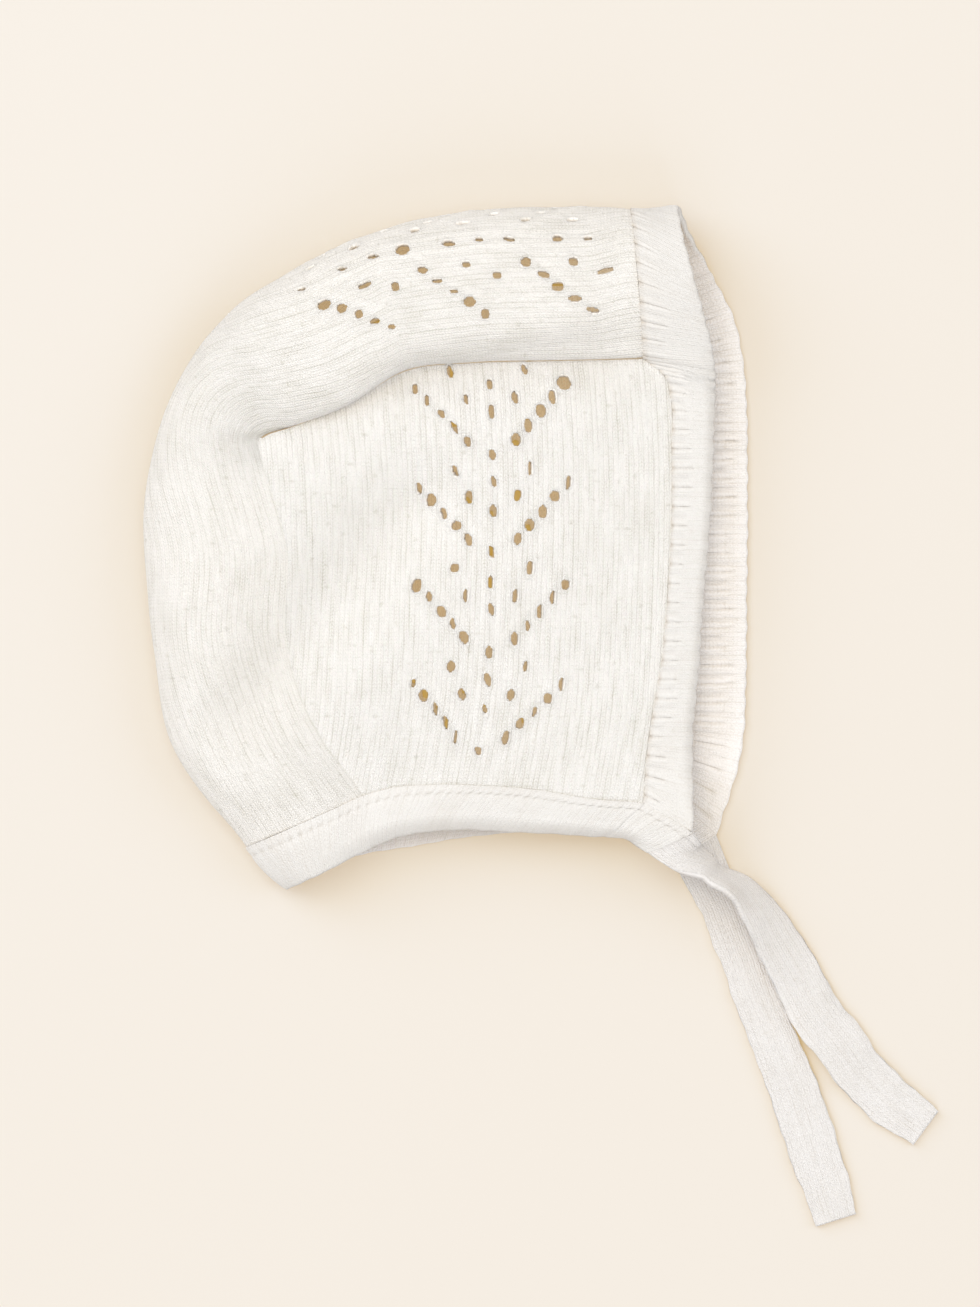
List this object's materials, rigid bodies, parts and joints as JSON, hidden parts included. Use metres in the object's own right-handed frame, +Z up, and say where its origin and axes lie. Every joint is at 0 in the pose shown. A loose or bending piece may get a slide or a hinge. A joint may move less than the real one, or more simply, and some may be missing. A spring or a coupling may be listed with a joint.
{
  "type": "knitted baby bonnet",
  "caption": "Knitted lace baby bonnet lying on its side, with a ribbed face edge, a plain neck edge and flat ties.",
  "frame": {"origin": "under the middle of the bonnet without its ties, on the surface that it lies on", "axes": "+X is towards the face opening, +Y towards the crown, +Z up through the bonnet as it lies, from its left side to its right side"},
  "size_m": [0.198, 0.2546, 0.0273],
  "materials": {
    "knit": "soft off-white cotton knit",
    "band": "soft off-white ribbed knit",
    "tie": "soft off-white flat knit"
  },
  "bodies": {
    "root": {"side_panel_right": "knit", "side_panel_left": "knit", "crown_panel": "knit", "face_band": "band", "neck_band": "band", "tie_right": "tie", "tie_left": "tie"}
  },
  "joints": []
}
